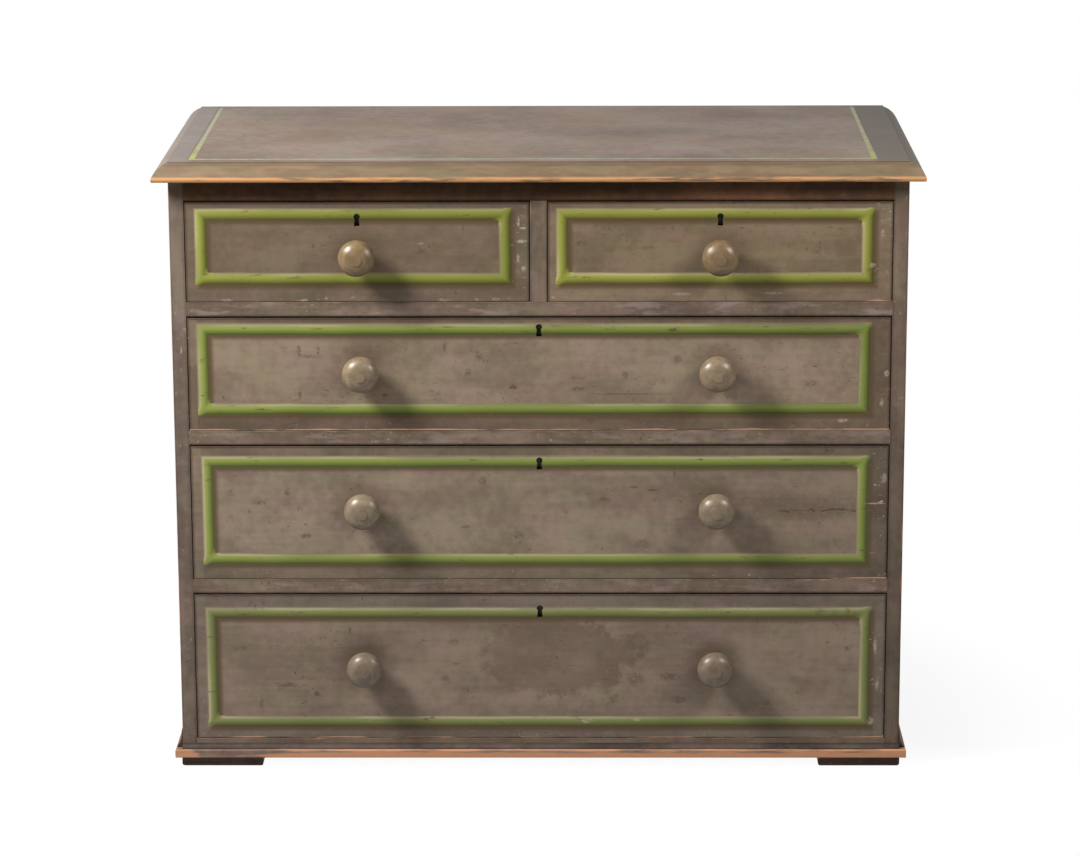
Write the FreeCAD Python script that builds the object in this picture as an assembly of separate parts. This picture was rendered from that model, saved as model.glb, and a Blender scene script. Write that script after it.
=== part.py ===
import FreeCAD, Part
import os

# A painted pine chest of drawers, two short drawers over three long ones, in millimetres.
# X runs along the front, Y from front to back and Z up. The feet stand on Z = 0.

# Carcass
carcass_width = 1040.0
carcass_depth = 490.0
side_thickness = 21.0
rail_thickness = 21.0
rail_depth = 62.0
frieze_height = 30.0
bottom_rail_height = 14.0
muntin_width = 24.0

# Drawer openings
short_opening_height = 145.0
upper_opening_height = 166.0
middle_opening_height = 199.0
bottom_opening_height = 219.0

# Top
top_thickness = 26.0
top_overhang = 22.0
top_back_overhang = 8.0
top_lip_height = 7.0
top_quirk = 2.0
top_quirk_width = 1.5
thumb_bulge_depth = 2.6
lip_bulge_depth = 1.2

# Base
base_thickness = 12.0
base_front_projection = 13.0
base_side_projection = 10.0
front_cove_height = 7.0
front_cove_depth = 8.0
side_cove_height = 26.0
cove_edge = 1.4
foot_height = 16.0
foot_width = 118.0
foot_depth = 110.0
foot_setback = 9.0

# Back
back_board_thickness = 12.0
back_board_count = 8
back_board_gap = 0.6
tongue_length = 6.0

# Runners, guides, kickers and stops
runner_width = 30.0
guide_height = 24.0
stop_width = 40.0
stop_depth = 10.0

# Drawers
front_thickness = 21.0
drawer_side_thickness = 12.0
drawer_back_thickness = 12.0
drawer_bottom_thickness = 9.0
drawer_bottom_lift = 10.0
drawer_rear_space = 16.0
drawer_side_drop = 4.0
drawer_back_drop = 8.0
tail_pitch = 48.0
tail_minimum = 2

# Knobs
knob_diameter = 52.0
knob_projection = 42.0
knob_pair_width = 505.0
knob_tenon_diameter = 18.0

# Locks
lock_width = 62.0
lock_height = 44.0
lock_depth = 11.0
bolt_throw = 8.0
keyhole_height = 18.0
keyhole_diameter = 9.0
keyhole_waist_width = 6.2
keyhole_foot_width = 8.0

# Clearances and worn arrises
side_gap = 1.2
top_gap = 2.0
runner_gap = 0.3
stop_gap = 0.4
bolt_gap = 0.4
bolt_rest_drop = 0.5
mortise_gap = 1.5
arris_radius = 1.2
match_tolerance = 0.001

# Shares of the sizes above
tenon_length_share = 0.45
tenon_height_share = 0.5
tenon_depth_share = 0.8
muntin_tenon_shares = (0.45, 0.85)
lap_share = 0.28
tail_root_share = 0.6
tail_end_share = 0.74
tongue_thickness_share = 0.34
stop_place_share = 0.3
stop_height_share = 0.6
housing_share = 0.24
rebate_share = 0.48
groove_share = 0.5
key_chamber_share = 0.3
bolt_width_share = 0.38
bolt_length_share = 0.54
bolt_thickness_share = 0.45
bolt_place_share = 0.65
base_rounding_share = 0.15
foot_rounding_share = 0.35
cove_bow_share = 0.62
# For the short, upper, middle and bottom drawers, from the foot of the front and from its head
knob_height_shares = (0.47, 0.53, 0.54, 0.51)
keyhole_drop_shares = (0.57, 0.41, 0.58, 0.57)
# Knob outline from the drawer front to the crown: share of the radius, share of the projection.
knob_outline_shares = (
    (0.68, 0.0),
    (0.66, 0.05),
    (0.57, 0.14),
    (0.62, 0.22),
    (0.83, 0.325),
    (0.96, 0.445),
    (1.0, 0.56),
    (0.975, 0.68),
    (0.885, 0.8),
    (0.7, 0.9),
    (0.44, 0.965),
    (0.2, 0.994),
)

# Places that follow from the sizes
inner_half = carcass_width / 2 - side_thickness
outer_half = carcass_width / 2
front_reach = max(knob_projection, top_overhang, base_front_projection)
overall_depth = front_reach + carcass_depth + top_back_overhang
front_y = front_reach - overall_depth / 2
back_y = front_y + carcass_depth
back_board_y = back_y - back_board_thickness
rail_back_y = front_y + rail_depth
base_z = foot_height
carcass_z = base_z + base_thickness
bottom_opening_z = carcass_z + bottom_rail_height
lower_rail_z = bottom_opening_z + bottom_opening_height
middle_opening_z = lower_rail_z + rail_thickness
middle_rail_z = middle_opening_z + middle_opening_height
upper_opening_z = middle_rail_z + rail_thickness
upper_rail_z = upper_opening_z + upper_opening_height
short_opening_z = upper_rail_z + rail_thickness
frieze_z = short_opening_z + short_opening_height
top_z = frieze_z + frieze_height
flat_z = top_z + top_thickness
tenon_length = side_thickness * tenon_length_share
housing_depth = side_thickness * housing_share
back_rebate_depth = side_thickness * rebate_share
base_rounding = base_thickness * base_rounding_share
side_cove_depth = base_side_projection - base_rounding
stop_height = drawer_bottom_lift * stop_height_share
drawer_groove_depth = drawer_side_thickness * groove_share
drawer_rear_y = back_board_y - drawer_rear_space
lock_face_y = front_y + front_thickness - lock_depth
bolt_y = lock_face_y + lock_depth * bolt_place_share
bolt_width = lock_width * bolt_width_share
bolt_length = lock_height * bolt_length_share
bolt_thickness = lock_depth * bolt_thickness_share


def point(x, y, z):
    return FreeCAD.Vector(x, y, z)


def block(x_low, x_high, y_low, y_high, z_low, z_high):
    corner = point(x_low, y_low, z_low)
    return Part.makeBox(x_high - x_low, y_high - y_low, z_high - z_low, corner)


def mirrored(shape):
    return shape.mirror(point(0, 0, 0), point(1, 0, 0))


def join(first, others):
    return first.fuse(others).removeSplitter()


def edges_at(shape, x=None, y=None, z=None):
    """Edges of the shape that lie wholly at the given places."""
    found = []
    for edge in shape.Edges:
        box = edge.BoundBox
        spans = ((x, box.XMin, box.XMax), (y, box.YMin, box.YMax), (z, box.ZMin, box.ZMax))
        fits = [place is None or max(abs(low - place), abs(high - place)) < match_tolerance
                for place, low, high in spans]
        if all(fits):
            found.append(edge)
    return found


def outline(parts):
    """A closed face from edges and lists of corners, in order."""
    edges = []
    last = None
    for part in parts:
        if isinstance(part, list):
            for corner in part:
                if last is not None and last.distanceToPoint(corner) > match_tolerance:
                    edges.append(Part.makeLine(last, corner))
                last = corner
        else:
            edges.append(part)
            last = part.Vertexes[-1].Point
    return Part.Face(Part.Wire(edges))


def arc(start, middle, end):
    return Part.Arc(start, middle, end).toShape()


def top_profile(edge_at, flat_at, place):
    """Half of the top's moulded edge: lip, thumb and quirk, from the underside to the flat."""
    outward = 1 if edge_at > flat_at else -1
    lip_at = edge_at - outward * lip_bulge_depth
    lip_z = top_z + top_lip_height
    thumb_at = flat_at + outward * top_quirk_width
    thumb_z = flat_z - top_quirk
    run = abs(lip_at - thumb_at)
    rise = thumb_z - lip_z
    slope = (run ** 2 + rise ** 2) ** 0.5
    bulge_at = (lip_at + thumb_at) / 2 + outward * thumb_bulge_depth * rise / slope
    bulge_z = (lip_z + thumb_z) / 2 + thumb_bulge_depth * run / slope
    lip = arc(place(lip_at, top_z), place(edge_at, (top_z + lip_z) / 2), place(lip_at, lip_z))
    thumb = arc(place(lip_at, lip_z), place(bulge_at, bulge_z), place(thumb_at, thumb_z))
    return [lip, thumb, [place(flat_at, thumb_z), place(flat_at, flat_z)]]


def make_top():
    """The moulding runs along the front and both ends, mitred at the front corners."""
    edge_x = outer_half + top_overhang
    edge_y = front_y - top_overhang
    rear_y = back_y + top_back_overhang

    def lengthwise(y, z):
        return point(-edge_x, y, z)

    def crosswise(x, z):
        return point(x, edge_y, z)

    long_parts = top_profile(edge_y, front_y, lengthwise)
    long_start = long_parts[0].Vertexes[0].Point
    long_parts.append([lengthwise(rear_y, flat_z), lengthwise(rear_y, top_z), long_start])
    long_run = outline(long_parts).extrude(point(2 * edge_x, 0, 0))
    right_parts = top_profile(edge_x, outer_half, crosswise)
    right_start = right_parts[0].Vertexes[0].Point
    middle_flat = crosswise(0, flat_z)
    middle_under = crosswise(0, top_z)
    right_parts.append([middle_flat, middle_under, right_start])
    right_run = outline(right_parts).extrude(point(0, rear_y - edge_y, 0))
    cross_run = join(right_run, [mirrored(right_run)])
    return long_run.common(cross_run).removeSplitter()


def make_rail(z_low, height):
    """A rail between the side panels, with a stub tenon at each end and worn front arrises."""
    rail = block(-inner_half, inner_half, front_y, rail_back_y, z_low, z_low + height)
    worn = edges_at(rail, y=front_y, z=z_low) + edges_at(rail, y=front_y, z=z_low + height)
    rail = rail.makeFillet(arris_radius, worn)
    reach = inner_half + tenon_length
    middle_y = front_y + rail_depth / 2
    half_depth = rail_depth * tenon_depth_share / 2
    middle_z = z_low + height / 2
    half_height = height * tenon_height_share / 2
    tenons = block(-reach, reach, middle_y - half_depth, middle_y + half_depth,
                   middle_z - half_height, middle_z + half_height)
    return join(rail, [tenons])


def make_muntin():
    """The upright between the two short drawers, tenoned into the rails above and below."""
    half = muntin_width / 2
    muntin = block(-half, half, front_y, rail_back_y, short_opening_z, frieze_z)
    worn = edges_at(muntin, x=-half, y=front_y) + edges_at(muntin, x=half, y=front_y)
    muntin = muntin.makeFillet(arris_radius, worn)
    tenon_front = front_y + rail_depth * muntin_tenon_shares[0]
    tenon_back = front_y + rail_depth * muntin_tenon_shares[1]
    tenon_low = short_opening_z - rail_thickness * tenon_length_share
    tenon_high = frieze_z + frieze_height * tenon_length_share
    tenon = block(-half, half, tenon_front, tenon_back, tenon_low, tenon_high)
    return join(muntin, [tenon])


def make_strips(z_low, height, with_centre):
    """Side runners or kickers behind a rail, housed in the panels, with one in the centre if asked for."""
    reach = inner_half + housing_depth
    right = block(inner_half - runner_width, reach, rail_back_y, back_board_y, z_low, z_low + height)
    strips = [mirrored(right), right]
    if with_centre:
        half = muntin_width / 2 + runner_width
        strips.append(block(-half, half, rail_back_y, back_board_y, z_low, z_low + height))
    return strips


def make_side_panel(fitted):
    """The right-hand panel, rebated for the back and cut for the rails, runners and kickers."""
    panel = block(inner_half, outer_half, front_y, back_y, carcass_z, top_z)
    panel = panel.makeFillet(arris_radius, edges_at(panel, x=outer_half, y=front_y))
    rebate = block(inner_half, inner_half + back_rebate_depth, back_board_y, back_y, carcass_z, top_z)
    return panel.cut([rebate] + fitted)


def make_back_boards():
    """Upright boards, tongued and grooved, in the rebates of the side panels."""
    half_span = inner_half + back_rebate_depth
    pitch = 2 * half_span / back_board_count
    middle_y = back_board_y + back_board_thickness / 2
    half_tongue = back_board_thickness * tongue_thickness_share / 2
    boards = []
    tongue = None
    for index in range(back_board_count):
        low = -half_span + pitch * index
        high = low + pitch
        last = index == back_board_count - 1
        if not last:
            high = high - back_board_gap
        board = block(low, high, back_board_y, back_y, carcass_z, top_z)
        if tongue is not None:
            board = board.cut(tongue)
        if not last:
            tongue = block(high, high + tongue_length, middle_y - half_tongue, middle_y + half_tongue,
                           carcass_z, top_z)
            board = join(board, [tongue])
        boards.append(board)
    return boards


def make_base():
    """The board under the carcass, its lip standing out at the front and both ends."""
    half = outer_half + base_side_projection
    front = front_y - base_front_projection
    base = block(-half, half, front, back_y, base_z, carcass_z)
    rounded = []
    for level in (base_z, carcass_z):
        rounded = rounded + edges_at(base, y=front, z=level)
        rounded = rounded + edges_at(base, x=-half, z=level)
        rounded = rounded + edges_at(base, x=half, z=level)
    return base.makeFillet(base_rounding, rounded)


def cove_face(height, depth, place):
    """A hollow moulding's section; place(out, up) puts it against its board."""
    hollow_out = cove_edge + (depth - cove_edge) * cove_bow_share / 2
    hollow_up = cove_edge + (height - cove_edge) * cove_bow_share / 2
    toe = place(depth, cove_edge)
    crown = place(cove_edge, height)
    hollow = arc(toe, place(hollow_out, hollow_up), crown)
    return outline([[place(0, 0), place(depth, 0), toe], hollow, [place(0, height), place(0, 0)]])


def make_front_cove():
    def place(out, up):
        return point(-outer_half, front_y - out, carcass_z + up)

    return cove_face(front_cove_height, front_cove_depth, place).extrude(point(carcass_width, 0, 0))


def make_side_cove():
    def place(out, up):
        return point(outer_half + out, front_y, carcass_z + up)

    return cove_face(side_cove_height, side_cove_depth, place).extrude(point(0, carcass_depth, 0))


def make_feet():
    """Four low blocks under the base, set in from its lip, with worn lower edges."""
    outer = outer_half + base_side_projection - foot_setback
    front = front_y - base_front_projection + foot_setback
    feet = []
    for low_y in (front, back_y - foot_depth):
        foot = block(outer - foot_width, outer, low_y, low_y + foot_depth, 0, foot_height)
        foot = foot.makeFillet(foot_height * foot_rounding_share, edges_at(foot, z=0))
        feet = feet + [mirrored(foot), foot]
    return feet


def make_stops(x_low, x_high, z_low):
    """Two blocks on the rail that stop the drawer front flush with the carcass."""
    middle = (x_low + x_high) / 2
    away = (x_high - x_low) * stop_place_share
    near = front_y + front_thickness + stop_gap
    stops = []
    for place in (middle - away, middle + away):
        stops.append(block(place - stop_width / 2, place + stop_width / 2, near, near + stop_depth,
                           z_low, z_low + stop_height))
    return stops


def make_tails(x_low, x_high, shoulder_y, end_y, z_low, z_high):
    """Dovetails of a drawer side, spread evenly over a height and widest at their ends."""
    count = max(tail_minimum, round((z_high - z_low) / tail_pitch))
    pitch = (z_high - z_low) / count
    narrow = pitch * tail_root_share / 2
    wide = pitch * tail_end_share / 2
    tails = []
    for index in range(count):
        middle = z_low + pitch * index + pitch / 2
        corners = [point(x_low, shoulder_y, middle - narrow), point(x_low, end_y, middle - wide),
                   point(x_low, end_y, middle + wide), point(x_low, shoulder_y, middle + narrow)]
        face = outline([corners + corners[:1]])
        tails.append(face.extrude(point(x_high - x_low, 0, 0)))
    return tails


def make_knob(x, z):
    """A turned bun knob with its tenon through the drawer front."""
    radius = knob_diameter / 2
    tenon_radius = knob_tenon_diameter / 2

    def place(out, away):
        return point(x + away, front_y - out, z)

    crown = place(knob_projection, 0)
    curve_points = [place(out * knob_projection, away * radius) for away, out in knob_outline_shares]
    curve_points.append(crown)
    curve = Part.BSplineCurve()
    curve.interpolate(Points=curve_points, InitialTangent=point(0, -1, 0), FinalTangent=point(-1, 0, 0))
    inner_end = place(-front_thickness, 0)
    tenon = [inner_end, place(-front_thickness, tenon_radius), place(0, tenon_radius), curve_points[0]]
    face = outline([tenon, curve.toShape(), [inner_end]])
    return face.revolve(point(x, front_y, z), point(0, 1, 0), 360)


def make_keyhole(x, z):
    """Round above and a flared skirt below, through the wood and into the lock case."""
    depth = front_thickness - lock_depth + lock_depth * key_chamber_share
    radius = keyhole_diameter / 2
    round_z = z + keyhole_height / 2 - radius
    waist_z = round_z - radius
    foot_z = z - keyhole_height / 2
    half_waist = keyhole_waist_width / 2
    half_foot = keyhole_foot_width / 2
    bow = Part.makeCylinder(radius, depth, point(x, front_y, round_z), point(0, 1, 0))
    corners = [point(x - half_waist, front_y, round_z), point(x - half_waist, front_y, waist_z),
               point(x - half_foot, front_y, foot_z), point(x + half_foot, front_y, foot_z),
               point(x + half_waist, front_y, waist_z), point(x + half_waist, front_y, round_z)]
    skirt = outline([corners + corners[:1]]).extrude(point(0, depth, 0))
    return join(bow, [skirt])


def bolt_block(x, z_low, z_high, gap):
    half = bolt_width / 2 + gap
    half_thickness = bolt_thickness / 2 + gap
    return block(x - half, x + half, bolt_y - half_thickness, bolt_y + half_thickness, z_low, z_high)


def make_bolt_mortise(x, rail_z):
    """The pocket in the underside of a rail that takes the lock bolt."""
    return bolt_block(x, rail_z, rail_z + bolt_throw + mortise_gap, mortise_gap)


def make_drawer(x_low, x_high, z_low, z_high, knob_places, row):
    """All the pieces of one drawer, by name."""
    left = x_low + side_gap
    right = x_high - side_gap
    low = z_low + runner_gap
    high = z_high - top_gap
    middle = (left + right) / 2
    inner_y = front_y + front_thickness
    lap_y = front_y + front_thickness * lap_share
    back_inner_y = drawer_rear_y - drawer_back_thickness
    side_high = high - drawer_side_drop
    back_high = side_high - drawer_back_drop
    bottom_low = low + drawer_bottom_lift
    bottom_high = bottom_low + drawer_bottom_thickness
    left_inner = left + drawer_side_thickness
    right_inner = right - drawer_side_thickness

    bottom = block(left_inner - drawer_groove_depth, right_inner + drawer_groove_depth,
                   inner_y - drawer_groove_depth, drawer_rear_y, bottom_low, bottom_high)
    knob_z = low + (high - low) * knob_height_shares[row]
    knobs = [make_knob(place, knob_z) for place in knob_places]
    case = block(middle - lock_width / 2, middle + lock_width / 2, lock_face_y, inner_y,
                 high - lock_height, high)
    keyhole = make_keyhole(middle, high - lock_height * keyhole_drop_shares[row])
    bolt_high = high - bolt_rest_drop
    bolt_low = bolt_high - bolt_length
    channel = bolt_block(middle, bolt_low - bolt_gap, high, bolt_gap)

    front_tails = make_tails(left, left_inner, inner_y, lap_y, low, side_high)
    front_tails = front_tails + make_tails(right_inner, right, inner_y, lap_y, low, side_high)
    front = block(left, right, front_y, inner_y, low, high)
    front = front.makeFillet(arris_radius, edges_at(front, y=front_y))
    front = front.cut(front_tails + [bottom, case, keyhole] + knobs)

    back_tails = make_tails(left, left_inner, back_inner_y, drawer_rear_y, bottom_high, back_high)
    back_tails = back_tails + make_tails(right_inner, right, back_inner_y, drawer_rear_y,
                                         bottom_high, back_high)
    back = block(left, right, back_inner_y, drawer_rear_y, bottom_high, back_high).cut(back_tails)

    side_left = block(left, left_inner, lap_y, drawer_rear_y, low, side_high)
    side_right = block(right_inner, right, lap_y, drawer_rear_y, low, side_high)
    return {
        "front": [front],
        "side_left": [side_left.cut([front, back, bottom])],
        "side_right": [side_right.cut([front, back, bottom])],
        "back": [back],
        "bottom": [bottom],
        "knobs": knobs,
        "lock_case": [case.cut([channel, keyhole])],
        "lock_bolt": [bolt_block(middle, bolt_low, bolt_high, 0)],
    }


# Carcass pieces
frieze_rail = make_rail(frieze_z, frieze_height)
upper_rail = make_rail(upper_rail_z, rail_thickness)
middle_rail = make_rail(middle_rail_z, rail_thickness)
lower_rail = make_rail(lower_rail_z, rail_thickness)
bottom_rail = make_rail(carcass_z, bottom_rail_height)
muntin = make_muntin()
runners = make_strips(upper_rail_z, rail_thickness, True)
runners = runners + make_strips(middle_rail_z, rail_thickness, False)
runners = runners + make_strips(lower_rail_z, rail_thickness, False)
runners = runners + make_strips(carcass_z, bottom_rail_height, False)
kickers = make_strips(frieze_z, frieze_height, True)
side_panel_right = make_side_panel([frieze_rail, upper_rail, middle_rail, lower_rail, bottom_rail]
                                   + runners + kickers)
guide = block(-muntin_width / 2, muntin_width / 2, rail_back_y, back_board_y,
              short_opening_z, short_opening_z + guide_height)

# Openings: name, left, right, foot, head, the places of the knobs and the row
half_muntin = muntin_width / 2
short_middle = (half_muntin + inner_half) / 2
long_knobs = (-knob_pair_width / 2, knob_pair_width / 2)
short_head = short_opening_z + short_opening_height
upper_head = upper_opening_z + upper_opening_height
middle_head = middle_opening_z + middle_opening_height
bottom_head = bottom_opening_z + bottom_opening_height
openings = (
    ("short_left", -inner_half, -half_muntin, short_opening_z, short_head, (-short_middle,), 0),
    ("short_right", half_muntin, inner_half, short_opening_z, short_head, (short_middle,), 0),
    ("upper_long", -inner_half, inner_half, upper_opening_z, upper_head, long_knobs, 1),
    ("middle_long", -inner_half, inner_half, middle_opening_z, middle_head, long_knobs, 2),
    ("bottom_long", -inner_half, inner_half, bottom_opening_z, bottom_head, long_knobs, 3),
)

short_mortises = [make_bolt_mortise(-short_middle, frieze_z), make_bolt_mortise(short_middle, frieze_z)]
side_cove_right = make_side_cove()
nodes = {
    "top_board": [make_top()],
    "side_panel_left": [mirrored(side_panel_right)],
    "side_panel_right": [side_panel_right],
    "frieze_rail": [frieze_rail.cut([muntin] + short_mortises)],
    "drawer_rail_upper": [upper_rail.cut([muntin, make_bolt_mortise(0, upper_rail_z)])],
    "drawer_rail_middle": [middle_rail.cut([make_bolt_mortise(0, middle_rail_z)])],
    "drawer_rail_lower": [lower_rail.cut([make_bolt_mortise(0, lower_rail_z)])],
    "bottom_rail": [bottom_rail],
    "centre_muntin": [muntin],
    "drawer_runners": runners,
    "kickers": kickers,
    "centre_guide": [guide],
    "back_boards": make_back_boards(),
    "base_board": [make_base()],
    "base_moulding_front": [make_front_cove()],
    "base_moulding_left": [mirrored(side_cove_right)],
    "base_moulding_right": [side_cove_right],
    "block_feet": make_feet(),
}
stops = []
for name, left, right, foot, head, knob_places, row in openings:
    stops = stops + make_stops(left, right, foot)
    pieces = make_drawer(left, right, foot, head, knob_places, row)
    for piece, solids in pieces.items():
        nodes[name + "_" + piece] = solids
nodes["drawer_stops"] = stops

os.makedirs("parts", exist_ok=True)
for name, solids in nodes.items():
    shape = solids[0] if len(solids) == 1 else Part.makeCompound(solids)
    shape.exportStep("parts/" + name + ".step")
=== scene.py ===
import math
from functools import reduce
from operator import add, mul

import bpy
from mathutils import Matrix, Vector


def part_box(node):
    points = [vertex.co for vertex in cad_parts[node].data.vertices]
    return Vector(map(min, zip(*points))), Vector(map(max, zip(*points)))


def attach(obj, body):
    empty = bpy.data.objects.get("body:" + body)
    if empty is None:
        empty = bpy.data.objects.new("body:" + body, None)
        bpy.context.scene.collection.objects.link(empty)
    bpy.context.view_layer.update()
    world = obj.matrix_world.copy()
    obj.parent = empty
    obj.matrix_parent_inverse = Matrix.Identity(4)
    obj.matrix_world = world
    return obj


# A painted pine chest of drawers, two short drawers over three long ones, on a white studio floor.
# Metres. X runs along the front, Y from front to back and Z up.

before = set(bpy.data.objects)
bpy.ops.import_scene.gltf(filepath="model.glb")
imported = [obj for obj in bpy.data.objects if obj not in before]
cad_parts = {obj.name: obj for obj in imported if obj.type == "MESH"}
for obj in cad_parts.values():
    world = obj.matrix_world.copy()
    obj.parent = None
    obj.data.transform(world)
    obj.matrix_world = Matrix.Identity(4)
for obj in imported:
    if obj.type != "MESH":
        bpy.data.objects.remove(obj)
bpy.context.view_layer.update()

drawers = ("short_left", "short_right", "upper_long", "middle_long", "bottom_long")


def by_drawer(*values):
    """One value for each drawer, in the order of their names above."""
    return dict(zip(drawers, values))


def linear(part):
    return part / 12.92 if part <= 0.04045 else ((part + 0.055) / 1.055) ** 2.4


def tone(red, green, blue):
    """A colour as it looks on a screen, each part from 0 to 255, turned into light."""
    return tuple(linear(part / 255) for part in (red, green, blue)) + (1.0,)


# Places taken from the frame
front_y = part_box("centre_muntin")[0].y
back_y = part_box("back_boards")[1].y
side_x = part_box("side_panel_right")[1].x
top_low, top_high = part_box("top_board")
base_low, base_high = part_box("base_board")
lock_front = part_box("bottom_long_lock_case")[0].y

# Distances behind the front at which the wear of its face ends and bare wood begins
face_end = (0.005, 0.002)
front_bare = (0.0016, 0.0026)
carcass_bare = (0.0022, 0.0034)
knob_bare = (0.001, 0.002)
# Where the inside of a side panel is bare, and where a lock is hidden by its drawer front and painted near
# black as shade seen through the keyhole
panel_bare = (side_x - 0.001, side_x - 0.002)
lock_shade_from = (lock_front + 0.004, lock_front + 0.003)

# Camera
camera_place = (0.0613, -5.4601, 1.7903)
camera_turn = (76.207, 0.201, 0.610)
camera_lens = 126.18
camera_sensor = 36.0

# Lamps: place, what it is aimed at, width, height and watts
softboxes = {
    "key_softbox": ((-1.86, -1.08, 2.32), (0.0, -0.2, 0.45), 0.64, 0.76, 141.0),
    "right_softbox": ((1.35, -1.0, 1.65), (0.25, -0.2, 0.45), 0.4, 0.5, 21.0),
    "back_softbox": ((0.0, 2.4, 0.45), (0.0, 0.2, 0.45), 0.9, 0.7, 42.0),
}
sky_strength = 0.045
white = (1, 1, 1, 1)
floor_reach = 15.0
floor_bounce = (0.45, 0.45, 0.45, 1.0)
floor_white_share = 0.86
floor_shadow_reach = (0.56, 0.84)
floor_shadow_front = (-0.27, -0.1)

# Paints: where they lie thick and where they lie thin
front_paints = by_drawer(
    (tone(110, 95, 78), tone(92, 78, 63)), (tone(118, 102, 82), tone(96, 82, 65)),
    (tone(135, 119, 102), tone(110, 95, 80)), (tone(135, 120, 104), tone(108, 95, 81)),
    (tone(127, 112, 98), tone(105, 91, 79)))
carcass_paint = (tone(122, 107, 93), tone(92, 79, 67))
# The frieze's paint, darker and browner than the carcass paint: painted shade under the top's overhang
frieze_paint_shaded = (tone(114, 82, 54), tone(76, 56, 38))
top_paint = (tone(118, 105, 96), tone(90, 76, 66))
base_paint = (tone(128, 108, 96), tone(92, 76, 67))
cove_paint = (tone(82, 69, 62), tone(50, 43, 38))
foot_paint = (tone(84, 64, 56), tone(54, 41, 35))
knob_light = by_drawer(
    tone(121, 100, 70), tone(118, 96, 68), tone(128, 110, 87), tone(123, 107, 87), tone(111, 96, 79))
knob_dark_share = 0.66
top_end = tone(76, 70, 63)
top_end_left = tone(112, 107, 105)
top_tan = tone(119, 99, 76)
top_brown = tone(92, 73, 58)
top_olive = tone(107, 94, 71)

# Casts that a paint is seen through
rosy_cast = (1.045, 0.985, 1.01, 1.0)
olive_cast = (0.975, 1.005, 0.94, 1.0)
carcass_cast = (1.0, 0.975, 0.965)
# A bluish painted reflection on the left side
left_side_painted_reflection = (0.98, 0.99, 1.04)
# On the frieze, painted light and shade: darker at the left and lighter and bluer at the right over this
# reach, and painted shade under the top's overhang, darker towards the top
frieze_painted_light = ((0.76, 0.82, 0.98, 1.0), (1.38, 1.38, 1.8, 1.0))
frieze_painted_light_reach = (0.04, 0.36)
frieze_shadow = 0.42
margin_casts = by_drawer(
    (0.99, 1.02, 1.08, 1.0), (1.0, 1.0, 1.05, 1.0), (1.02, 0.97, 0.93, 1.0),
    (1.01, 0.99, 0.97, 1.0), (0.99, 1.02, 1.07, 1.0))

# What shows where the paint is scuffed, chipped or rubbed through
scuff_brown = tone(70, 56, 44)
# Dark brown of dirt in cracks and joints, and of painted shade along the gaps between the parts
dirt_and_shade_brown = tone(40, 28, 20)
chip_pale = tone(190, 174, 156)
pale_pink = tone(148, 130, 124)
worn_pine = tone(206, 160, 126)
worn_rail = tone(168, 132, 110)
worn_rust = tone(146, 92, 64)
worn_lip = tone(178, 130, 86)
worn_base = tone(182, 130, 97)

# Bare wood and iron
pine_tones = (tone(201, 163, 114), tone(158, 112, 67))
pine_knot = tone(92, 54, 30)
back_tones = (tone(158, 124, 90), tone(108, 78, 54))
iron_grey = tone(98, 92, 86)
iron_rust = tone(92, 62, 44)
# Near black, painted as shade inside the keyholes and on the lock faces seen through them
painted_shade_black = tone(16, 13, 11)

# The green line round each drawer: its lit edge, its body and its shaded edge
line_paints = by_drawer(
    (tone(137, 131, 84), tone(125, 131, 54), tone(68, 65, 26)),
    (tone(147, 139, 91), tone(130, 134, 56), tone(70, 65, 26)),
    (tone(127, 126, 85), tone(119, 131, 60), tone(63, 68, 27)),
    (tone(138, 132, 95), tone(121, 132, 62), tone(65, 74, 34)),
    (tone(142, 135, 106), tone(115, 121, 69), tone(65, 67, 37)))
line_edge = tone(118, 106, 80)
# Where its outer rim, lit edge, body and shaded edge lie, as shares of its width
line_shares = (0.0, 0.16, 0.42, 0.9)
# The gleam on the lit edge: where it begins and ends, and its depth
line_gleam = tone(198, 188, 150)
gleam_start = (0.02, 0.14)
gleam_end = (0.36, 0.2)
gleam_depth = 0.2
# How light the line is, and what its strokes add
line_lights = (0.98, 0.08)
# How much lighter the line is at its left end, and darker at its right end, than in the middle
line_slope = by_drawer(0.1, 0.06, 0.14, 0.04, 0.0)
# How much the line has faded
line_fade = by_drawer(0, 0, 0, 0, 0.06)
# Half width of the line, blur of its edges, how far it wanders, and blur of its mitres
line_halves = by_drawer(0.0088, 0.0088, 0.0084, 0.0082, 0.0082)
line_blur = 0.0007
line_wander = 0.0022
corner_blur = 0.012
# Distance of the line's centre from the left, right, lower and upper edge of each front
line_margins = by_drawer(
    (0.0219, 0.0341, 0.0335, 0.017), (0.02, 0.0348, 0.0335, 0.017), (0.0212, 0.0374, 0.0316, 0.0164),
    (0.0232, 0.0366, 0.0304, 0.0224), (0.0236, 0.0298, 0.0256, 0.0272))
# The shadow painted beside the line, to the right of it and below
line_shadow = tone(80, 62, 42)
line_shadow_depth = 0.88
line_shadow_edge = (0.0045, -0.0035)
line_drop = 0.005
# How much darker the paint is outside the line, less at the left and more at the right
margin_depth = by_drawer(0.02, -0.1, 0.43, 0.33, 0.25)
margin_sides = (1.0, -0.45, 0.2)
margin_blur = 0.002
# How much darker the paint is towards the right
right_fade = by_drawer(0, 0, -0.06, 0.18, 0)

# The faint line on the top: its place, its paint near and far, and its half width, less towards the back
top_line_left = -0.488
top_line_right = 0.4716
top_line_front = front_y + 0.02
top_line_back = (0.012, 0.02)
top_green = tone(138, 140, 84)
top_line_pale = tone(150, 158, 128)
top_line_far = (0.02, 0.3)
top_line_far_pale = 0.8
top_line_halves = (0.0042, -0.0014)
top_line_edge = (1.15, 0.75)
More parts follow.
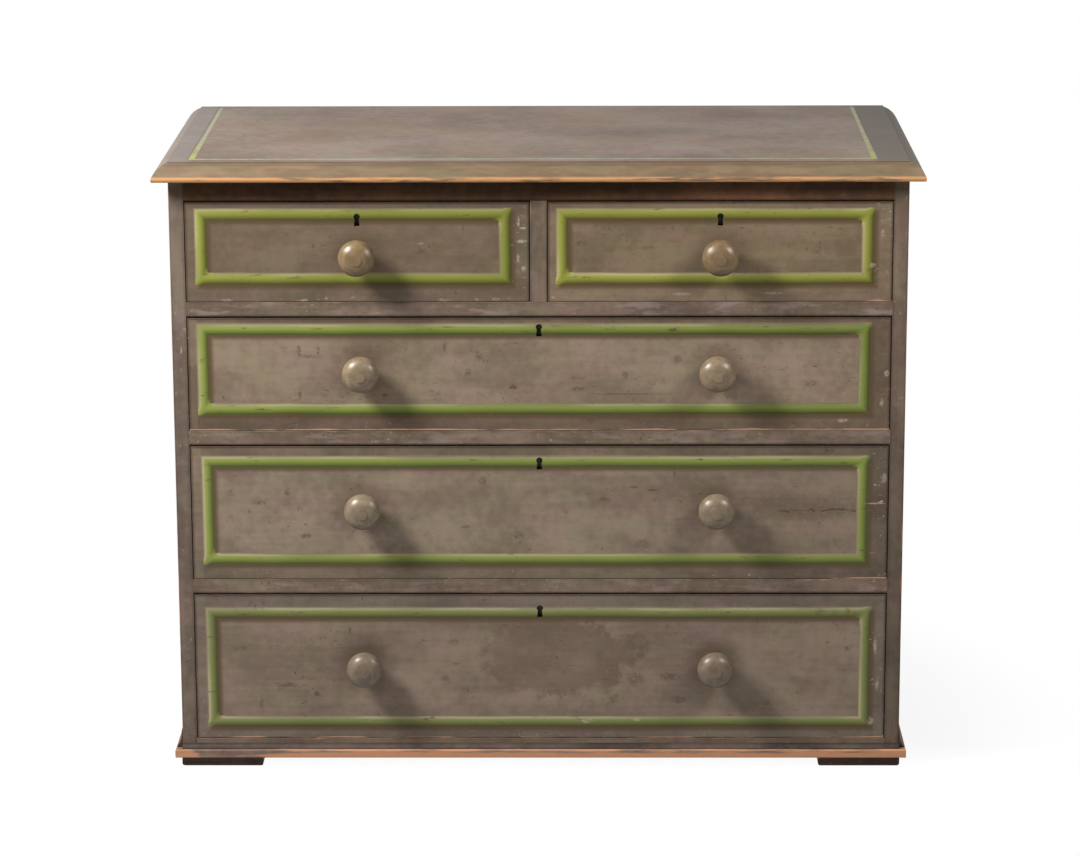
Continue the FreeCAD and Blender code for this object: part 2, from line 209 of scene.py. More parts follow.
# How much of it is left where it is rubbed, its depth, less in the front run and far back, and its dark side
top_line_kept = (0.4, 0.6)
top_line_depths = (0.9, -0.32, -0.25)
front_run_reach = (0.004, 0.012)
dark_side_start = (-0.0075, -0.005)
dark_side_end = (0.0, -0.003)
dark_side_depth = 0.35

# The rest of the top: tan patches, grey ends, tan front, moulding, groove under it and worn lip
top_tan_depth = 0.3
top_end_edge = (0.004, -0.008)
top_end_depths = (0.5, 0.35)
top_front = (0.014, -0.006)
top_front_tan = 0.6
moulding_edge = (0.0012, 0.0028)
moulding_brown = 0.6
moulding_depths = (0.2, 0.7)
groove_reach = (0.0065, 0.0035)
groove_depth = 0.35
top_lip = (0.0085, 0.0055)
top_lip_corner = 0.07
top_lip_wear = (1.0, 0.2, 0.1)
top_lip_levels = (0.54, 0.74)

# The base: its lip, the lower part of it, the sound left end, the worn tips, and what each adds to the wear
base_lip = (0.006, 0.009)
base_lower = (base_high.z - 0.002, base_low.z + 0.004)
base_left_end = (-0.36, -0.42)
base_tip = (side_x - 0.03, side_x - 0.01)
base_wear = (1.0, 0.3, -0.4, 0.45)
base_wear_levels = (0.34, 0.66)
base_worn_depth = 0.92

# How far each front is rubbed through along its left, right, lower and upper arris
front_wear = by_drawer(
    (0.16, 0.16, 0.2, 0.1), (0.16, 0.2, 0.16, 0.1), (0.2, 0.2, 0.46, 0.1), (0.2, 0.16, 0.22, 0.14),
    (0.16, 0.26, 0.36, 0.14))
front_worn_depth = 0.68
carcass_worn_depth = 0.85
# What is added at the lower right corner, and how far from the right it begins
corner_wear = by_drawer(0.0, 0.2, 0.1, 0.5, 0.1)
corner_reach = (0.1, 0.03)
# How far wear reaches from an arris, and the levels between which it comes through
wear_reach = (0.0046, 0.0012)
wear_levels = (0.8, 1.0)
# How dark the same edges are: dirt, and painted shade along the gaps between the parts
front_edge_dirt_and_shade = (0.6, 0.55, 0.2, 0.7)
rail_edge_dirt_and_shade = (0.3, 0.3, 0.6, 0.2)
edge_dirt_and_shade_reach = (0.0042, 0.0008)
# Rails: wear of the same edges, how light the paint is, and how much of the pale pinkish patches is on it
rail_looks = {
    "frieze_rail": ((0, 0, 0.1, 0), 1.0, 0.0),
    "drawer_rail_upper": ((0, 0, 0.12, 0.2), 0.9, 0.45),
    "drawer_rail_middle": ((0, 0, 0.1, 0.24), 0.97, 0.3),
    "drawer_rail_lower": ((0, 0, 0.2, 0.22), 0.92, 0.3),
    "bottom_rail": ((0, 0, 0.1, 0.2), 0.95, 0.0),
}
# Uprights: wear of the edges and darkening towards the foot, then for the sides lightness and cast
muntin_wear = (0.2, 0.2, 0, 0)
muntin_foot_darkening = 0.14
# The sides' lightness and cast are painted light: the left side darker with a bluish painted reflection, the
# right side lighter
side_looks = {
    "left": ((0.3, 0.1, 0, 0), 0.06, 0.92, left_side_painted_reflection),
    "right": ((0.1, 0.32, 0, 0), 0.48, 1.12, carcass_cast),
}
# Height, as a share of the piece, at which the darkening is full
foot_darkening_full = 0.4

# Depth of scuffs and chips, and where chips gather on a front: at the right, along the foot and elsewhere
scuff_depth = 0.6
line_mark_depth = 0.5
chip_depth = 0.8
carcass_chip_depth = 0.45
low_chip_depth = 0.7
chip_right = (0.034, 0.012)
chip_foot = (0.016, 0.006)
chip_foot_share = 0.6
chip_elsewhere = 0.06

# Single marks on the fronts: place from the middle and over the foot, half width and half height, all in
# millimetres, and how deep the mark is
millimetre = 0.001
marks = by_drawer(
    ((-166, 72, 7, 4, 0.5), (-395, 76, 10, 3, 0.3)),
    ((60, 84, 9, 4, 0.4), (152, 77, 10, 3, 0.35), (392, 74, 6, 6, 0.35)),
    ((-340, 117, 2.6, 8.5, 0.6), (-313, 118, 2.6, 8, 0.6), (-326, 108, 12, 2.4, 0.4),
     (-134, 120, 2.8, 7, 0.5), (-86, 109, 5, 7, 0.5), (-101, 85, 5, 5.5, 0.5), (-37, 63, 6.5, 3.4, 0.7),
     (-340, 52, 2.6, 6.5, 0.5), (196, 104, 8.5, 6.5, 0.45), (122, 80, 4.2, 6.5, 0.45),
     (55, 61, 11, 3, 0.5), (52, 76, 11, 3, 0.35), (125, 53, 56, 1.3, 0.45), (384, 68, 9, 5, 0.4)),
    ((-440, 129, 4, 7, 0.35), (-400, 113, 10, 3, 0.5), (-361, 129, 4.5, 5, 0.5), (-343, 105, 4, 4, 0.5),
     (-336, 64, 8, 3.4, 0.6), (-81, 146, 8.5, 6.5, 0.45), (-106, 78, 8, 2.4, 0.5),
     (-29, 66, 6.5, 6, 0.35), (134, 136, 6, 1.8, 0.7), (162, 132, 7.2, 1.8, 0.7),
     (91, 119, 8, 3.2, 0.45), (148, 51, 11, 9, 0.35)),
    ((-274, 165, 2, 7, 0.6), (-433, 136, 12, 3, 0.4), (-365, 81, 12, 4, 0.55), (-324, 67, 4.5, 3.4, 0.6),
     (-404, 53, 3, 14, 0.35), (-124, 147, 9, 6, 0.4), (-124, 113, 8, 2.4, 0.5), (-138, 91, 8, 5, 0.4),
     (138, 89, 12, 11, 0.4), (187, 93, 15, 6, 0.45), (200, 58, 10, 6, 0.45), (402, 190, 6, 6, 0.7),
     (424, 189, 5, 5, 0.7), (443, 191, 4, 6, 0.7)))
# Pale chips and scratches, placed in the same way
pale_marks = by_drawer(
    ((-28, 114, 1.6, 7, 0.9), (-22, 106, 5, 1.8, 0.9), (-24, 87, 6.6, 2, 1.0), (-29, 62, 1.8, 6, 0.8),
     (-21, 48, 3, 3.6, 0.9), (-167, 84, 5, 1.6, 0.5), (-440, 3, 8, 1.6, 0.7), (-331, 3, 5, 1.6, 0.7),
     (-300, 5, 2, 2.4, 0.6), (-134, 3, 8, 2.2, 0.6), (-61, 4, 5, 2, 0.6)),
    ((484, 98, 3, 5, 0.7), (470, 52, 4.4, 3.6, 0.8), (330, 12, 16, 2, 0.6), (200, 11, 14, 2.2, 0.6)),
    ((492.5, 83, 4, 4.6, 1.0), (486, 40, 3, 5, 0.7), (432, 14, 7, 3, 0.7)),
    ((480, 112, 15, 1.1, 1.0), (492, 150, 3, 7, 0.6)),
    ((483, 140, 2.4, 12, 0.8), (487, 80, 2.4, 9, 0.6), (478, 26, 5, 6, 0.7), (68, 26, 8, 3, 0.7),
     (140, 28, 6, 3, 0.7)))
mark_edge = (1.3, 0.55)
mark_raggedness = 1.7
# How deep pale marks are, what of that is left between their flecks, and what the flecks add
pale_mark_depth = 0.5
pale_mark_flecks = (0.2, 0.8)

# The damp stain on the bottom drawer, with its lobes and pale patch placed as the marks are
stain_place = (0.022, 0.122)
stain_half = (0.106, 0.06)
stain_lobes = ((112, 130, 38, 28), (96, 88, 20, 26))
stain_pale = (58, 113, 18, 13)
stain_brown = tone(90, 75, 61)
stain_raggedness = 2.2
stain_edge_tear = 0.4
stain_edge = (1.1, 0.8)
stain_rim = (0.5, 0.95)
stain_rim_across = (-0.9, 0.7)
stain_depths = (0.42, 0.26)
stain_lobe_depth = 0.62
stain_pale_depth = 0.35

# The knotty crack in the middle drawer: its ends, level, half width with what knots add to it, and stain
crack_left = (0.335, 0.355)
crack_right = (0.458, 0.454)
crack_up = 0.1015
crack_wander = 0.002
crack_halves = (0.0009, 0.00288)
crack_edge = (1.5, 0.7)
crack_depths = (0.35, 0.65)
crack_depth = 0.6
crack_stain = (376, 105, 75, 20)
crack_stain_depth = 0.5

# Darker paint round the knobs, in knob radii, and its strength on each drawer
knob_halo_reach = (2.1, 0.9)
knob_halo_raggedness = 1.0
knob_halo_depth = by_drawer(0.3, 0.3, 0.35, 0.3, 0.45)
# Painted shade inside the keyhole: half width and half height, edge, and depth of its centre under the front's
# head
keyhole_shade_half = (0.008, 0.013)
keyhole_edge = (1.2, 0.9)
keyhole_drops = by_drawer(0.025, 0.025, 0.018, 0.0255, 0.025)

# Textures: length along the grain, width across it, detail and roughness. Then may come the start of the
# pattern, and two levels between which patches grow from nothing to full.
paint_patches = (0.13, 0.055, 3, 0.5)
paint_clouds = (0.014, 0.014, 3, 0.6)
paint_streaks = (0.14, 0.0055, 3, 0.55)
paint_hairs = (0.05, 0.0016, 2, 0.5)
paint_casts = (0.07, 0.03, 2, 0.5, 1, 0.36, 0.64)
scuff_dashes = (0.011, 0.0034, 2, 0.5, 0, 0.63, 0.76)
scuff_dabs = (0.005, 0.009, 1.5, 0.5, 3, 0.66, 0.78)
scuff_groups = (0.07, 0.05, 1, 0.5, 7, 0.42, 0.62)
chip_flakes = (0.0085, 0.0042, 3, 0.7, 11.0, 0.62, 0.71)
chip_groups = (0.07, 0.05, 1, 0.5, 13.0, 0.4, 0.6)
crack_knots = (0.011, 0.0034, 2, 0.5, -9.1, 0.5, 0.62)
ragged = (0.0045, 0.0045, 3, 0.65)
mark_flecks = (0.005, 0.0032, 2, 0.55, 0, 0.36, 0.5)
knob_halo_clouds = paint_clouds + (4.0,)
rubbing = (0.06, 0.006, 3, 0.6, 5.0)
top_rubbing = rubbing[:4] + (-12.0,)
base_rubbing = rubbing[:4] + (-19.0,)
rail_pale_patches = (0.05, 0.012, 3, 0.6, 6, 0.5, 0.68)
line_waves = (0.09, 0.09, 2, 0.5)
line_strokes = (0.17, 0.17, 1, 0.5, 2, 0.42, 0.6)
line_rubs = (0.03, 0.006, 4, 0.65, 2, 0.28, 0.4)
top_clouds = (0.2, 0.15, 3, 0.5)
top_patches = (0.2, 0.13, 3, 0.55, 2, 0.46, 0.66)
top_rubs = (0.02, 0.02, 4, 0.65, -18.0, 0.3, 0.6)
moulding_patches = (0.045, 0.012, 3, 0.6, 4, 0.36, 0.66)
moulding_casts = (0.1, 0.02, 2, 0.5, 6, 0.38, 0.62)
pine_figure = (1.5, 0.085, 1.5, 0.4)
pine_fibres = (0.08, 0.001, 3, 0.55)
pine_clouds = (0.4, 0.11, 2, 0.5)
back_damp = paint_patches + (1.0,)
knob_mottle = (0.009, 0.009, 3, 0.65)
knob_turning = (0.0016, 0.03, 2, 0.5)
iron_filing = (0.02, 0.0008, 2, 0.5)
iron_patches = (0.012, 0.012, 4, 0.65, 0, 0.48, 0.66)

# Where the patterns of each piece start, and the steps from one drawer, rail or board to the next
starts = {
    "top": 21.0, "base": 31.0, "cove": 33.0, "foot": 36.0, "muntin": 14.0, "side": 16.0, "knob": 41.0,
    "pine_long": 51.0, "pine_deep": 54.0, "back": 57.0,
}
drawer_step = 3.7
rail_step = 2.3
board_step = 2.7

# Shares of the layers in the thickness of the paint and in its brush marks, and in the knobs' paint
paint_shares = (0.56, 0.3, 0.14)
paint_levels = (0.35, 0.65)
brush_shares = (0.6, 0.4)
knob_shares = (0.8, 0.2)
knob_levels = (0.3, 0.7)

# Pine: rings in a figure, knots in cells, and shares of rings, fibres and clouds in its tone
pine_rings = 95.0
knot_cell = 0.23
knot_chance = (0.5, 0.7)
knot_edge = (0.05, 0.0275)
pine_shares = (-0.3, 0.24, 0.5, 0.6)
pine_levels = (0.05, 0.75)
pine_relief = (0.4, 0.6)

# Surfaces: roughness and what layers add to it, how far layers stand up or go in, depth of that, specular
bump = 0.0003
fine_bump = 0.0002
front_surface = ((0.46, 0.16, 0.15, 0.15), (0.3, 0.2, -0.4, -0.5, -0.4, -1.0), bump, 0.18)
carcass_surface = ((0.46, 0.18, 0.15, 0.15), (0.3, -0.5, -0.4), bump, 0.18)
frieze_surface = carcass_surface[:3] + (0.06,)
top_surface = ((0.46, 0.16, 0.15), (0.3, 0.15, -0.5, -0.3), bump, 0.18)
base_surface = ((0.5, 0.18, 0.1), (0.3, -0.5, -0.3), bump, 0.18)
low_surface = ((0.5, 0.18), (0.4, -0.5), bump, 0.15)
knob_surface = ((0.27, 0.14), (0.4, 0.6), fine_bump, 0.36)
pine_surface = ((0.6, 0.2), (1.0,), bump, 0.3)
back_surface = ((0.62, 0.2), (1.0,), bump, 0.25)
iron_surface = ((0.36, 0.14, 0.3), (0.5, 0.5), fine_bump, 0.5)
iron_metal = (0.85, -0.6)

# Back boards: how many, how much they differ, dirt in the joints and height of the damp
back_board_count = 8
back_tone_range = 0.22
back_tone_step = 0.38
back_joint_dirt = (0.0026, 0.0008)
back_joint_depth = 0.85
back_damp_height = 0.16

# Small fixings: share of a head's height that its middle stands out, then sizes and places
head_lift = 0.25
screw_sides = 24
screw_radius = 0.0034
screw_height = 0.001
screw_dome = 0.0004
screw_steps = (0.3, 0.4)
screw_slot = (0.0072, 0.0009, 0.001)
screw_inset = 0.008
screw_turns = (0.4, 1.9, 1.1, 2.6)
nail_length = 0.007
nail_width = 0.0046
nail_height = 0.0008
nail_inset = nail_width * 0.3
nail_rise = nail_height * 0.5
nail_bevel = nail_height * 0.2
nail_rows = 7
nail_turns = [turn / 3 for turn in screw_turns]
nail_from_edge = 0.005
nail_in_runner = 0.026
nail_in_centre = 0.024


class Wire:
    """A shader socket that takes part in sums, with numbers or with other wires."""

    def __init__(self, shader, socket):
        self.shader = shader
        self.socket = socket

    def __add__(self, other):
        return self.shader.maths("ADD", self, other)

    __radd__ = __add__

    def __sub__(self, other):
        return self.shader.maths("SUBTRACT", self, other)

    def __rsub__(self, other):
        return self.shader.maths("SUBTRACT", other, self)

    def __mul__(self, other):
        return self.shader.maths("MULTIPLY", self, other)

    __rmul__ = __mul__

    def __truediv__(self, other):
        return self.shader.maths("DIVIDE", self, other)

    def __abs__(self):
        return self.shader.maths("ABSOLUTE", self)


class Shader:
    """A tree of shader nodes, for a look or for the sky."""

    def __init__(self, owner):
        owner.use_nodes = True
        self.tree = owner.node_tree
        self.tree.nodes.clear()

    def node(self, kind, settings={}, sockets={}, out=0):
        """Adds a node: its settings first, then the values or wires of its sockets."""
        made = self.tree.nodes.new("ShaderNode" + kind)
        for name, value in settings.items():
            if name == "stops":
                self.set_stops(made.color_ramp.elements, value)
            else:
                setattr(made, name, value)
        for name, value in sockets.items():
            if isinstance(value, Wire):
                self.tree.links.new(value.socket, made.inputs[name])
            else:
                made.inputs[name].default_value = value
        return Wire(self, made.outputs[out])

    def set_stops(self, elements, stops):
        for place, colour in stops[1:-1]:
            elements.new(place).color = colour
        for element, (place, colour) in zip((elements[0], elements[-1]), (stops[0], stops[-1])):
            element.position = place
            element.color = colour

    def end(self, kind, surface):
        """Adds the output node."""
        output = self.tree.nodes.new("ShaderNode" + kind)
        self.tree.links.new(surface.socket, output.inputs["Surface"])

    def maths(self, operation, *values):
        return self.node("Math", {"operation": operation}, dict(enumerate(values)))

    def most(self, *values):
        return reduce(lambda found, value: self.maths("MAXIMUM", found, value), values)

    def least(self, *values):
        return reduce(lambda found, value: self.maths("MINIMUM", found, value), values)

    def blend(self, shares, *layers):
        """Layers added up, each times its share. A layer of 1 stands for its share alone."""
        return reduce(add, map(mul, layers, shares))

    def away(self, first, second):
        """Distance from the origin of two coordinates."""
        return self.maths("SQRT", first * first + second * second)

    def smooth(self, value, start, end):
        """0 at start, 1 at end, and an even curve between."""
        sockets = {"Value": value, "From Min": start, "From Max": end}
        return self.node("MapRange", {"interpolation_type": "SMOOTHSTEP"}, sockets)

    def mix(self, amount, first, second):
        """A colour between two others."""
        return self.node("Mix", {"data_type": "RGBA"}, {0: amount, 6: first, 7: second}, 2)

    def shade(self, colour, amount):
        """A colour made darker or lighter by a factor."""
        return self.node("VectorMath", {"operation": "SCALE"}, {"Vector": colour, "Scale": amount})

    def tint(self, colour, cast):
        """A colour seen through another."""
        return self.node("VectorMath", {"operation": "MULTIPLY"}, {0: colour, 1: cast})


class Look(Shader):
    """One procedural material on Object coordinates, for pieces with a grain and maybe a box."""

    def __init__(self, name, grain="x", shift=0.0, box=(None, None)):
        self.material = bpy.data.materials.new(name)
        super().__init__(self.material)
        self.place = self.node("TexCoord", out="Object")
        parts = [self.node("SeparateXYZ", {}, {"Vector": self.place}, axis) for axis in "XYZ"]
        self.x, self.y, self.z = parts
        self.grain = grain
        self.shift = shift
        self.low, self.high = box

    def stretched(self, sizes, shift):
        """Object coordinates measured in the given sizes."""
        start = (shift, shift, shift)
        if isinstance(shift, Wire):
            start = self.node("CombineXYZ", {}, dict(zip("XYZ", start)))
        scale = [1 / size for size in sizes]
        return self.node("Mapping", {}, {"Vector": self.place, "Location": start, "Scale": scale})

    def layer(self, texture):
        """Cloudy noise from 0 to 1, as long and as wide as the texture says, or patches of it."""
        length, width, detail, roughness, *rest = texture
        start, *levels = rest or (0.0,)
        sizes = [length if axis == self.grain else width for axis in "xyz"]
        place = self.stretched(sizes, self.shift + start)
        sockets = {"Vector": place, "Scale": 1.0, "Detail": detail, "Roughness": roughness}
        noise = self.node("TexNoise", {}, sockets)
        return self.smooth(noise, *levels) if levels else noise

    def uneven(self, texture, amount):
        """Noise that goes as far below 0 as above it."""
        return (self.layer(texture) - 0.5) * amount

    def behind(self, start, end):
        """0 and 1 at two distances behind the front of the carcass."""
        return self.smooth(self.y, front_y + start, front_y + end)

    def spot(self, torn, x, up, half_width, half_height, depth=1.0):
        """A ragged oval on a front: its depth inside, falling to 0 outside."""
        across = (self.x - x * millimetre) / (half_width * millimetre)
        along = (self.z - (self.low.z + up * millimetre)) / (half_height * millimetre)
        return self.smooth(self.away(across, along) + torn, *mark_edge) * depth

    def spots(self, torn, placed):
        """The deepest of the ovals that are placed one by one."""
        return self.most(*[self.spot(torn, *facts) for facts in placed])

    def done(self, colour, surface, rough_layers, relief_layers, metallic=0.0):
        """Ends the look with its colour, roughness, relief and metal."""
        rough, relief, depth, specular = surface
        height = self.blend(relief, *relief_layers)
        normal = self.node("Bump", {}, {"Height": height, "Distance": depth, "Strength": 1.0}, "Normal")
        sockets = {"Base Color": colour, "Roughness": self.blend(rough, 1, *rough_layers), "Normal": normal,
                   "Metallic": metallic, "Specular IOR Level": specular}
        self.end("OutputMaterial", self.node("BsdfPrincipled", {}, sockets))
        return self.material


def brushed_paint(look, paint, patches=paint_patches):
    """Old paint brushed along the grain: its colour and its brush marks."""
    light, dark = paint
    patchy, clouds, streaks, hairs, casts = map(
        look.layer, (patches, paint_clouds, paint_streaks, paint_hairs, paint_casts))
    thick = look.smooth(look.blend(paint_shares, patchy, clouds, streaks), *paint_levels)
    cast = look.mix(casts, olive_cast, rosy_cast)
    return look.tint(look.mix(thick, dark, light), cast), look.blend(brush_shares, streaks, hairs)


def scuffs(look):
    """Dark dashes along the grain and dabs across it, in loose groups."""
    dashes, dabs, groups = map(look.layer, (scuff_dashes, scuff_dabs, scuff_groups))
    return look.most(dashes, dabs) * groups * scuff_depth


def chips(look):
    """Flakes knocked out of the paint, in loose groups."""
    return look.layer(chip_flakes) * look.layer(chip_groups)


def pine_knots(look):
    """Ragged knots in some of the cells that the wood is divided into."""
    cells = {"Vector": look.stretched((knot_cell,) * 3, look.shift), "Scale": 1.0}
    distance = look.node("TexVoronoi", {}, cells, "Distance")
    chance = look.node("SeparateColor", {}, {"Color": look.node("TexVoronoi", {}, cells, "Color")})
    torn = look.uneven(ragged, knot_edge[0])
    return look.smooth(chance, *knot_chance) * look.smooth(distance + torn, *knot_edge)


def bare_wood(look, tones):
    """Plain-sawn pine: rings cut into long loops, fibres and a few knots. Gives its colour and relief."""
    figure, fibres, clouds = map(look.layer, (pine_figure, pine_fibres, pine_clouds))
    rings = look.maths("SINE", figure * pine_rings) * 0.5 + 0.5
    deep = look.smooth(look.blend(pine_shares, 1, rings, fibres, clouds), *pine_levels)
    colour = look.mix(pine_knots(look), look.mix(deep, *tones), pine_knot)
    return colour, look.blend(pine_relief, rings, fibres)


def near_edges(look, amounts, reach):
    """The largest of four amounts near the left, right, lower and upper edge of a front."""
    low, high = look.low, look.high
    edges = (look.x - low.x, high.x - look.x, look.z - low.z, high.z - look.z)
    near = [look.smooth(edge, *reach) * amount for edge, amount in zip(edges, amounts) if amount]
    return look.most(*near) * look.behind(*face_end)


def worn_edges(look, wear):
    """How far the paint is rubbed through along the edges of a front."""
    return look.smooth(near_edges(look, wear, wear_reach) + look.layer(rubbing), *wear_levels)


def green_line(look, colour, drawer):
    """The shaded line round a drawer front, its painted shadow and the darker margin outside it."""
    left, right, lower, upper = line_margins[drawer]
    line_half = line_halves[drawer]
    line_low = look.low + Vector((left, 0, lower))
    line_high = look.high - Vector((right, 0, upper))
    middle = (line_low + line_high) / 2
    half = (line_high - line_low) / 2

    def beyond(drop):
        """How far a point is outside the line's centre, sideways and up or down."""
        return abs(look.x - (middle.x + drop)) - half.x, abs(look.z - (middle.z - drop)) - half.z

    def outer(distance):
        """1 where a distance from the line's centre is past its outer edge."""
        return look.smooth(distance, line_half, line_half + margin_blur)

    across, along = beyond(0)
    outside = look.most(across, along)
    upright = look.smooth(across - along, -corner_blur, corner_blur)
    from_middle = look.x - middle.x
    to_right = look.maths("SIGN", from_middle)
    to_foot = look.maths("SIGN", middle.z - look.z)
    wander = look.uneven(line_waves, line_wander)
    into = (outside + wander) * (upright * to_right + (1 - upright) * to_foot)

    sides = look.blend(margin_sides, 1, outer(middle.x - look.x - half.x), outer(from_middle - half.x))
    margin = outer(outside) * sides
    colour = look.shade(colour, 1 - margin * margin_depth[drawer])
    colour = look.tint(colour, look.mix(margin, white, margin_casts[drawer]))
    shadow = look.smooth(abs(look.most(*beyond(line_drop))) - line_half, *line_shadow_edge)
    colour = look.mix(shadow * line_shadow_depth, colour, line_shadow)

    share = into / (2 * line_half) + 0.5
    strokes = look.layer(line_strokes)
    stops = tuple(zip(line_shares, (line_edge,) + line_paints[drawer]))
    green = look.node("ValToRGB", {"stops": stops}, {"Fac": share})
    gleam = look.smooth(share, *gleam_start) * look.smooth(share, *gleam_end) * strokes
    green = look.mix(gleam * gleam_depth, green, line_gleam)
    slope = from_middle * (line_slope[drawer] / half.x)
    green = look.shade(green, look.blend(line_lights, 1, strokes) - slope)
    green = look.mix(line_fade[drawer], green, colour)
    on_line = look.smooth(abs(outside + wander), line_half + line_blur, line_half - line_blur)
    on_line = on_line * look.layer(line_rubs)
    return look.mix(on_line, colour, green), on_line


def knob_halo(look, colour, drawer):
    """Darker paint round each knob, strongest close to it, with a ragged edge."""
    low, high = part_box(drawer + "_knobs")
    radius = (high.z - low.z) / 2
    from_knob = [look.away(look.x - x, look.z - (low.z + radius)) / radius
                 for x in (low.x + radius, high.x - radius)]
    patchy = look.uneven(knob_halo_clouds, knob_halo_raggedness)
    dirt = look.smooth(look.least(*from_knob) + patchy, *knob_halo_reach) * knob_halo_depth[drawer]
    return look.mix(dirt, colour, scuff_brown)


def keyhole_shade(look, drawer):
    """1 within the keyhole of a drawer, where its inside is painted near black as shade."""
    half_width, half_height = keyhole_shade_half
    across = (look.x - (look.low.x + look.high.x) / 2) / half_width
    along = (look.z - (look.high.z - keyhole_drops[drawer])) / half_height
    return look.smooth(look.away(across, along), *keyhole_edge)


def damp_stain(look, colour):
    """A brown tide mark, darkest along its right rim, with dark lobes and a pale patch within."""
    torn = look.uneven(paint_clouds, stain_raggedness)
    x, up = stain_place
    across = (look.x - x) / stain_half[0]
    along = (look.z - look.low.z - up) / stain_half[1]
    inward = look.away(across, along) + torn * stain_edge_tear
    inside = look.smooth(inward, *stain_edge)
    rim = inside * look.smooth(inward, *stain_rim) * look.smooth(across, *stain_rim_across)
    lobes = look.spots(torn, stain_lobes) * stain_lobe_depth
    colour = look.mix(look.most(look.blend(stain_depths, inside, rim), lobes), colour, stain_brown)
    pale = look.spot(torn, *stain_pale)
    return look.mix(pale * stain_pale_depth, colour, front_paints["bottom_long"][0])


def knotty_crack(look, colour, torn):
    """A crack along the grain with dark knots in a brown stain."""
    stain = look.spot(torn, *crack_stain)
    along = look.smooth(look.x, *crack_left) * look.smooth(look.x, *crack_right)
    level = look.z - look.low.z - crack_up - torn * crack_wander
    knots = look.layer(crack_knots)
    width = look.blend(crack_halves, 1, knots)
    crack = look.smooth(abs(level) / width, *crack_edge) * along * look.blend(crack_depths, 1, knots)
    colour = look.mix(stain * crack_stain_depth, colour, stain_brown)
    return look.mix(crack * crack_depth, colour, dirt_and_shade_brown), crack


def front_chips(look, drawer, torn, flecks):
    """Pale chips, most at the right end and along the foot, and those that are placed one by one."""
    right_end = look.smooth(look.high.x - look.x, *chip_right)
    foot = look.smooth(look.z - look.low.z, *chip_foot) * chip_foot_share
    chipped = chips(look) * look.most(right_end, foot, chip_elsewhere)
    pale = look.spots(torn, pale_marks[drawer]) * look.blend(pale_mark_flecks, 1, flecks)
    return look.most(chipped * chip_depth, pale * pale_mark_depth)


def painted_front(drawer):
    """Umber paint with a shaded green line round it, over bare pine edges and inside."""
    look = Look(drawer + "_paint", "x", drawers.index(drawer) * drawer_step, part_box(drawer + "_front"))
    torn = look.uneven(ragged, mark_raggedness)
    colour, brush = brushed_paint(look, front_paints[drawer])
    colour = look.shade(colour, 1 - look.smooth(look.x, 0, look.high.x) * right_fade[drawer])
    crack = 0.0
    if drawer == "bottom_long":
        colour = damp_stain(look, colour)
    if drawer == "middle_long":
        colour, crack = knotty_crack(look, colour, torn)
    flecks = look.layer(mark_flecks)
    dark_marks = look.most(scuffs(look), look.spots(torn, marks[drawer]) * flecks)
    colour = look.mix(dark_marks, knob_halo(look, colour, drawer), scuff_brown)
    colour, on_line = green_line(look, colour, drawer)
    colour = look.mix(dark_marks * on_line * line_mark_depth, colour, scuff_brown)
    chipped = front_chips(look, drawer, torn, flecks)
    colour = look.mix(chipped, colour, chip_pale)
    # Dirt and painted shade along the edges of the front, where the gaps are
    colour = look.mix(near_edges(look, front_edge_dirt_and_shade, edge_dirt_and_shade_reach), colour, dirt_and_shade_brown)
    left, right, foot, head = front_wear[drawer]
    foot = foot + look.smooth(look.high.x - look.x, *corner_reach) * corner_wear[drawer]
    worn = worn_edges(look, (left, right, foot, head))
    colour = look.mix(worn * front_worn_depth, colour, worn_pine)
    wood = bare_wood(look, pine_tones)[0]
    bare = look.behind(*front_bare)
    # Bare pine behind the face, painted near black as shade inside the keyhole
    colour = look.mix(bare, colour, look.mix(keyhole_shade(look, drawer), wood, painted_shade_black))
    relief_layers = (brush, on_line, dark_marks, chipped, worn, crack)
    return look.done(colour, front_surface, (brush, worn, bare), relief_layers)


def painted_carcass(name, grain, box, wear, worn_tone, shift,
                    foot_darkening=0.0, gain=1.0, pale_patch_share=0.0, cast=carcass_cast):
    """Umber paint on a rail, upright or panel, with bare pine behind or inside it."""
    look = Look(name, grain, shift, box)
    low, high = box
    frieze = name.startswith("frieze")
    colour, brush = brushed_paint(look, frieze_paint_shaded if frieze else carcass_paint)
    # Darker towards the foot; on the sides the gain and cast are painted light
    lower = look.smooth(look.z, high.z, low.z + (high.z - low.z) * foot_darkening_full) * foot_darkening
    colour = look.tint(look.shade(colour, gain - lower), cast)
    if pale_patch_share:
        colour = look.mix(look.layer(rail_pale_patches) * pale_patch_share, colour, pale_pink)
    if frieze:
        # Painted shade under the top's overhang, darker towards the top, and painted light and shade along the
        # frieze, lighter and bluer towards the right
        colour = look.shade(colour, 1 - look.smooth(look.z, low.z, high.z) * frieze_shadow)
        colour = look.tint(colour, look.mix(look.smooth(look.x, *frieze_painted_light_reach), *frieze_painted_light))
    dark_marks = scuffs(look)
    colour = look.mix(dark_marks, colour, scuff_brown)
    if not frieze:
        colour = look.mix(chips(look) * carcass_chip_depth, colour, chip_pale)
    # Dirt and painted shade along the edges, where the gaps between the parts are
    colour = look.mix(near_edges(look, rail_edge_dirt_and_shade, edge_dirt_and_shade_reach), colour, dirt_and_shade_brown)
    worn = worn_edges(look, wear)
    colour = look.mix(worn * carcass_worn_depth, colour, worn_tone)
    bare = look.behind(*carcass_bare)
    if name.startswith("side"):
        bare = bare * look.smooth(abs(look.x), *panel_bare)
    colour = look.mix(bare, colour, bare_wood(look, pine_tones)[0])
    surface = frieze_surface if frieze else carcass_surface
    return look.done(colour, surface, (brush, worn, bare), (brush, dark_marks, worn))


